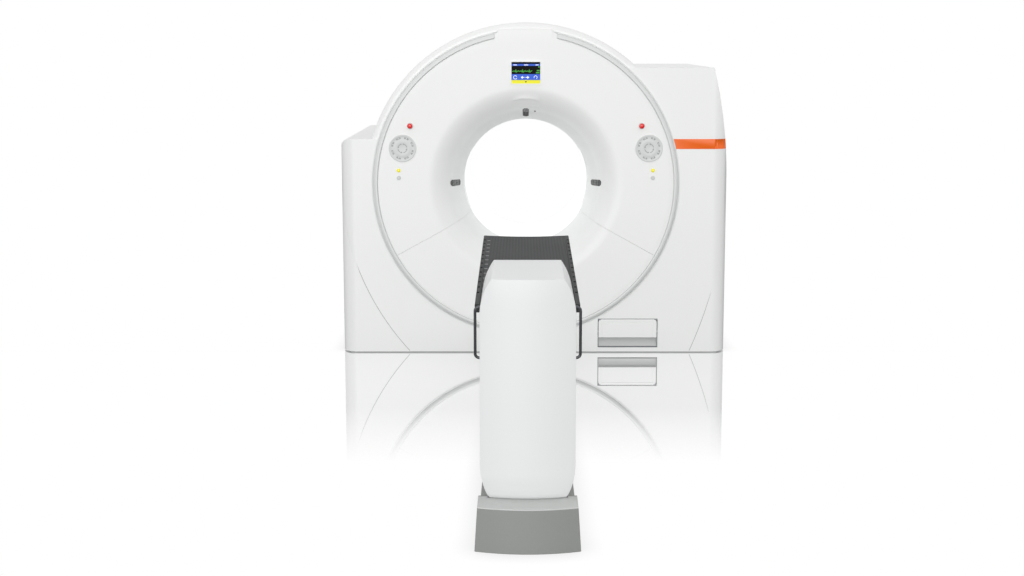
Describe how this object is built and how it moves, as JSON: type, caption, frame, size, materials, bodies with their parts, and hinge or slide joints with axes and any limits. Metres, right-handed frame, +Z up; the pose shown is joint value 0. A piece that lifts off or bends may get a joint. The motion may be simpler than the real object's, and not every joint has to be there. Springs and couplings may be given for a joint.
{
  "type": "hospital ring scanner with patient table",
  "caption": "Hospital imaging gantry with a wide funnel bore, an asymmetric white housing and a floor-running patient table whose pallet travels into the bore.",
  "frame": {"origin": "on the floor under the bore axis, at half the gantry's depth, centre of the anchor holes", "axes": "+Z up, +Y from the table's foot to the gantry's rear, +X to the right facing the front"},
  "size_m": [2.382, 4.563, 2.0398],
  "materials": {
    "cover_white": "moulded satin enamel",
    "trim_grey": "satin moulded",
    "steel_frame": "powder coat",
    "cast_frame": "painted casting",
    "bearing_steel": "ground",
    "motor_dark": "potted windings",
    "unit_grey": "painted housing",
    "copper": "turned contact rings",
    "lead_weight": "cast",
    "window_film": "clear film over dark carbon",
    "screen_glass": "display glass",
    "bezel_dark": "moulded",
    "keypad_grey": "membrane",
    "stop_red": "moulded",
    "lamp_yellow": "clear moulded lens",
    "button_grey": "moulded",
    "laser_dark": "ribbed window",
    "grip_dark": "moulded cup",
    "foot_rubber": "moulded pad",
    "base_grey": "powder coat",
    "ledge_grey": "satin coat",
    "guide_steel": "ground",
    "carriage_metal": "milled",
    "tower_white": "moulded satin enamel",
    "handle_metal": "dark satin",
    "pallet_dark": "carbon laminate",
    "rail_dark": "extruded rail"
  },
  "bodies": {
    "gantry": {"front_ring_cover": "cover_white", "front_lower_cover": "cover_white", "drum_cover": "cover_white", "left_front_panel": "cover_white", "left_corner_panel": "cover_white", "left_side_cover": "cover_white", "right_front_panel": "cover_white", "right_corner_panel": "cover_white", "right_side_cover": "cover_white", "rear_panel": "cover_white", "rear_ring_cover": "cover_white", "ring_trim": "trim_grey", "sensor_panel": "trim_grey", "bore_tube_rear": "trim_grey", "base_frame": "steel_frame", "stator_frame": "cast_frame", "rear_ring_support": "cast_frame", "bearing_outer": "bearing_steel", "flap_hinge_pin": "bearing_steel", "drive_stator": "motor_dark", "motor_track": "motor_dark", "brush_block": "motor_dark", "rear_detector_ring": "unit_grey", "scan_window": "window_film", "display_screen": "screen_glass", "display_bezel": "bezel_dark", "keypads": "keypad_grey", "signal_lamps": "lamp_yellow", "button_collars": "button_grey", "laser_windows": "laser_dark", "levelling_feet": "foot_rubber", "table_base": "base_grey", "nose_plate": "ledge_grey", "linear_rails": "guide_steel"},
    "rotor": {"rotor_disc": "cast_frame", "bearing_inner": "bearing_steel", "drive_ring": "motor_dark", "slip_ring": "copper", "tube_housing": "unit_grey", "collimator": "unit_grey", "arc_detector": "unit_grey", "generator": "unit_grey", "cooler": "unit_grey", "balance_weight": "lead_weight"},
    "table_carriage": {"carriage": "carriage_metal", "mast": "carriage_metal", "lift_screw": "guide_steel", "tower_shell": "tower_white", "tower_rear_cover": "tower_white", "handles": "handle_metal"},
    "table_lift": {"lift_bracket": "carriage_metal", "pallet_frame": "carriage_metal", "pallet": "pallet_dark", "side_rails": "rail_dark"},
    "stop_left": {"stop_button_left": "stop_red"},
    "stop_right": {"stop_button_right": "stop_red"},
    "call_left": {"call_button_left": "button_grey"},
    "call_right": {"call_button_right": "button_grey"},
    "flap": {"access_flap": "cover_white", "flap_grip": "grip_dark"}
  },
  "joints": [
    {"name": "rotor_spin", "type": "hinge", "parent": "gantry", "child": "rotor", "pos_m": [0, -0.18, 1.054], "axis": [0, 1, 0], "continuous": true},
    {"name": "table_travel", "type": "slide", "parent": "gantry", "child": "table_carriage", "axis": [0, 1, 0], "range_m": [0, 2.3]},
    {"name": "table_raise", "type": "slide", "parent": "table_carriage", "child": "table_lift", "axis": [0, 0, 1], "range_m": [-0.32, 0.05]},
    {"name": "stop_press_left", "type": "slide", "parent": "gantry", "child": "stop_left", "axis": [0, 1, 0], "range_m": [0, 0.006], "stiffness_N_per_m": 900},
    {"name": "stop_press_right", "type": "slide", "parent": "gantry", "child": "stop_right", "axis": [0, 1, 0], "range_m": [0, 0.006], "stiffness_N_per_m": 900},
    {"name": "call_press_left", "type": "slide", "parent": "gantry", "child": "call_left", "axis": [0, 1, 0], "range_m": [0, 0.002], "stiffness_N_per_m": 600},
    {"name": "call_press_right", "type": "slide", "parent": "gantry", "child": "call_right", "axis": [0, 1, 0], "range_m": [0, 0.002], "stiffness_N_per_m": 600},
    {"name": "flap_swing", "type": "hinge", "parent": "gantry", "child": "flap", "pos_m": [0.634, -0.656, 0.207], "axis": [-1, 0, 0], "range_deg": [0, 80]}
  ]
}
